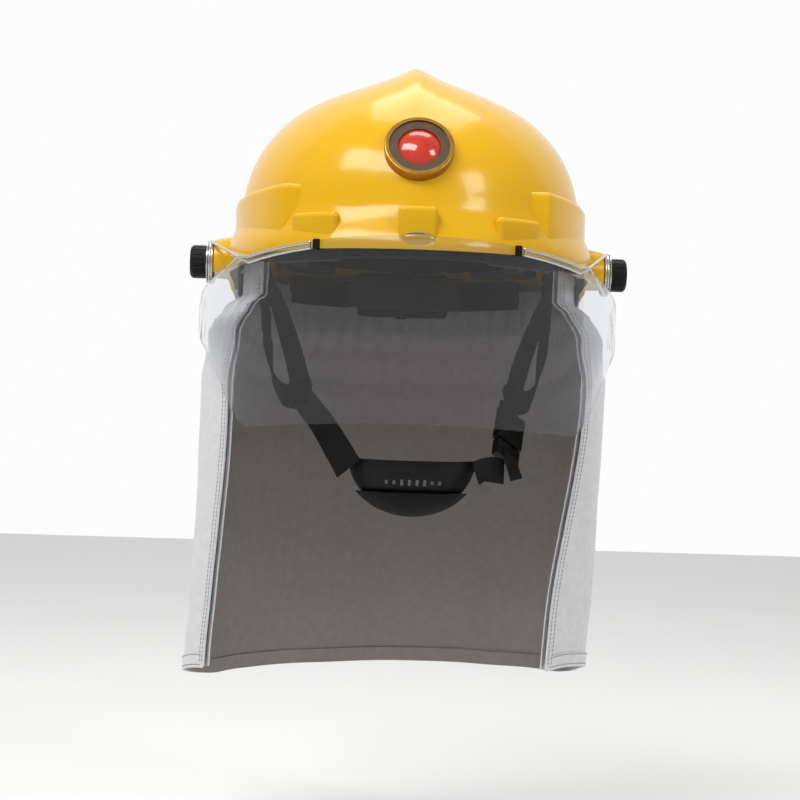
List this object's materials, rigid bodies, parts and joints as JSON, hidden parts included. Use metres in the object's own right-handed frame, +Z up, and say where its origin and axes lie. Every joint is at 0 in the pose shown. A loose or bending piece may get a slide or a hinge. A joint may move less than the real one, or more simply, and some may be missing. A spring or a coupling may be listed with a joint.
{
  "type": "firefighter helmet",
  "caption": "Crested hard fire helmet with raised brim blocks, swing-up clear visor on wire bails, cradle harness, chin strap with cup, and a hanging silver neck shawl.",
  "frame": {"origin": "middle of the head opening, level with the visor's pivot axis, on the helmet's middle plane", "axes": "+Z up, the helmet faces -Y, the visor turns about X, +X is the wearer's left"},
  "size_m": [0.3048, 0.3336, 0.428],
  "materials": {
    "yellow_shell": "gloss moulded, clear coated",
    "liner_foam": "closed-cell foam",
    "black_webbing": "woven polyester",
    "dark_pad": "brushed fabric over foam",
    "black_plastic": "fine spark texture",
    "clear_visor": "clear polycarbonate",
    "badge_brass": "pressed and polished",
    "badge_field": "dark enamel",
    "badge_red": "red enamel",
    "silver_cloth": "aluminised twill",
    "grey_lining": "plain weave lining",
    "steel": "drawn stainless wire"
  },
  "bodies": {
    "helmet": {"badge_enamel": "badge_red", "badge_field": "badge_field", "badge_pins": "badge_brass", "badge_rim": "badge_brass", "buckle_socket": "black_plastic", "cheek_strap_front_left": "black_webbing", "cheek_strap_front_right": "black_webbing", "cheek_strap_rear_left": "black_webbing", "cheek_strap_rear_right": "black_webbing", "chin_cup": "black_plastic", "chin_pad": "dark_pad", "crown_pad": "dark_pad", "crown_strap_crosswise": "black_webbing", "crown_strap_lengthwise": "black_webbing", "headband": "black_plastic", "impact_liner": "liner_foam", "lower_strap_left": "black_webbing", "lower_strap_right": "black_webbing", "nape_pad": "dark_pad", "neck_shawl": "silver_cloth", "outer_shell": "yellow_shell", "pivot_bolt_left": "steel", "pivot_bolt_right": "steel", "pivot_washer_left": "steel", "pivot_washer_right": "steel", "ratchet_housing": "black_plastic", "rear_pad_left": "dark_pad", "rear_pad_right": "dark_pad", "shawl_header_band": "black_webbing", "shawl_lining": "grey_lining", "shawl_snaps": "steel", "side_pad_left": "dark_pad", "side_pad_right": "dark_pad", "strap_anchors": "black_plastic", "strap_divider_left": "black_plastic", "strap_divider_right": "black_plastic", "suspension_clips": "black_plastic", "sweatband": "dark_pad", "upper_strap_left": "black_webbing"},
    "visor_unit": {"visor": "clear_visor", "visor_lift_tab": "clear_visor", "visor_wire_left": "steel", "visor_wire_right": "steel", "wire_clip_left": "black_plastic", "wire_clip_right": "black_plastic"},
    "knob_left": {"pivot_knob_left": "black_plastic"},
    "knob_right": {"pivot_knob_right": "black_plastic"},
    "dial": {"size_dial": "black_plastic", "dial_pinion": "black_plastic"},
    "arm_left": {"nape_arm_left": "black_plastic"},
    "arm_right": {"nape_arm_right": "black_plastic"},
    "plug": {"buckle_plug": "black_plastic", "strap_tail": "black_webbing"},
    "prong_left": {"buckle_prong_left": "black_plastic"},
    "prong_right": {"buckle_prong_right": "black_plastic"}
  },
  "joints": [
    {"name": "visor_tilt", "type": "hinge", "parent": "helmet", "child": "visor_unit", "pos_m": [0, 0, 0], "axis": [-1, 0, 0], "range_deg": [0, 82]},
    {"name": "knob_left_turn", "type": "hinge", "parent": "helmet", "child": "knob_left", "pos_m": [0.1465, 0, 0], "axis": [1, 0, 0], "range_deg": [0, 360]},
    {"name": "knob_right_turn", "type": "hinge", "parent": "helmet", "child": "knob_right", "pos_m": [-0.1465, 0, 0], "axis": [-1, 0, 0], "range_deg": [0, 360]},
    {"name": "dial_turn", "type": "hinge", "parent": "helmet", "child": "dial", "pos_m": [0, 0.125, -0.014], "axis": [0, -1, 0], "range_deg": [0, 76]},
    {"name": "arm_left_slide", "type": "slide", "parent": "helmet", "child": "arm_left", "axis": [1, 0, 0], "range_m": [0, 0.008]},
    {"name": "arm_right_slide", "type": "slide", "parent": "helmet", "child": "arm_right", "axis": [-1, 0, 0], "range_m": [0, 0.008]},
    {"name": "buckle_release", "type": "slide", "parent": "helmet", "child": "plug", "axis": [-0.1264, -0.5057, -0.8534], "range_m": [0, 0.02], "deforming": ["lower_strap_left"]},
    {"name": "prong_left_squeeze", "type": "hinge", "parent": "plug", "child": "prong_left", "pos_m": [0.06144, -0.07315, -0.11662], "axis": [-0.742, 0.6192, -0.257], "range_deg": [0, 4], "stiffness_Nm_per_rad": 0.05},
    {"name": "prong_right_squeeze", "type": "hinge", "parent": "plug", "child": "prong_right", "pos_m": [0.0725, -0.06306, -0.12424], "axis": [0.742, -0.6192, 0.257], "range_deg": [0, 4], "stiffness_Nm_per_rad": 0.05}
  ],
  "couplings": [
    {"joint": "arm_left_slide", "follows": "dial_turn", "m_per_rad": 0.006},
    {"joint": "arm_right_slide", "follows": "dial_turn", "m_per_rad": 0.006}
  ]
}
